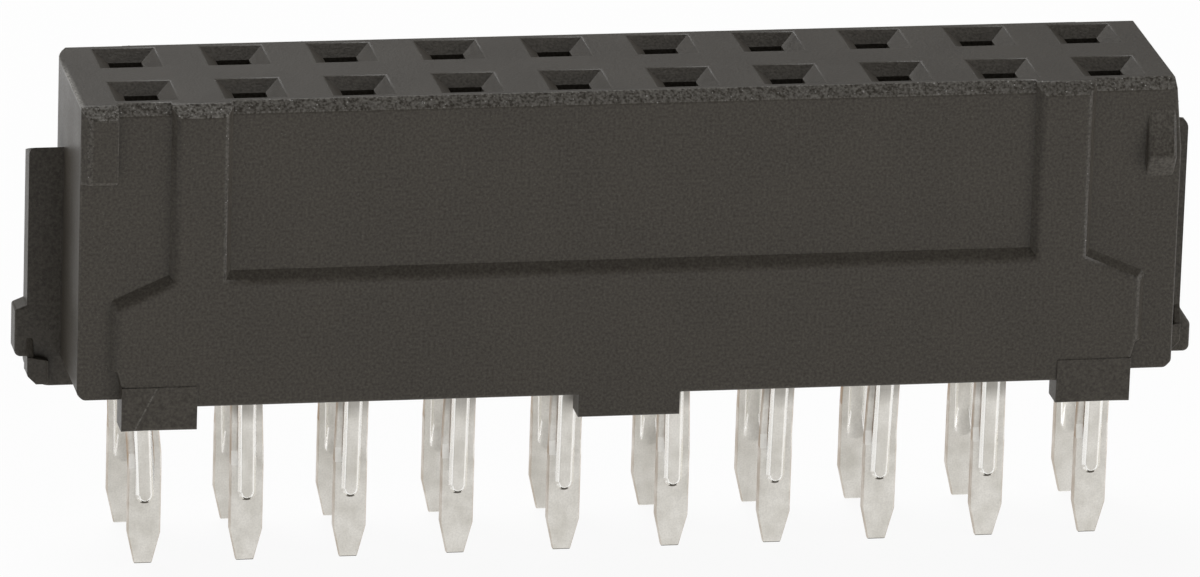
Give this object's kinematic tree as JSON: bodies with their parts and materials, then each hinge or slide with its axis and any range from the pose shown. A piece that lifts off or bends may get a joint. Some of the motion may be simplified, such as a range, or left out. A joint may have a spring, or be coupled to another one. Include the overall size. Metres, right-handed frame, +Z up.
{
  "type": "rectangular connector",
  "caption": "Low rectangular board socket: a black moulded housing with two rows of square pin sockets, ribbed long sides, barbed end fins, and flat stamped tails below.",
  "frame": {"origin": "middle of the contact grid, on the board's surface that the housing's feet stand on", "axes": "+X along the contact rows, +Y from the front with the lock wedge to the rear, +Z up out of the sockets"},
  "size_m": [0.0222, 0.0042, 0.0091],
  "materials": {
    "housing": "fine-grained matte black moulding",
    "contacts": "satin tin plating on stamped copper alloy"
  },
  "bodies": {
    "root": {"housing": "housing", "contact_front_01": "contacts", "contact_front_02": "contacts", "contact_front_03": "contacts", "contact_front_04": "contacts", "contact_front_05": "contacts", "contact_front_06": "contacts", "contact_front_07": "contacts", "contact_front_08": "contacts", "contact_front_09": "contacts", "contact_front_10": "contacts", "contact_rear_01": "contacts", "contact_rear_02": "contacts", "contact_rear_03": "contacts", "contact_rear_04": "contacts", "contact_rear_05": "contacts", "contact_rear_06": "contacts", "contact_rear_07": "contacts", "contact_rear_08": "contacts", "contact_rear_09": "contacts", "contact_rear_10": "contacts"}
  },
  "joints": []
}
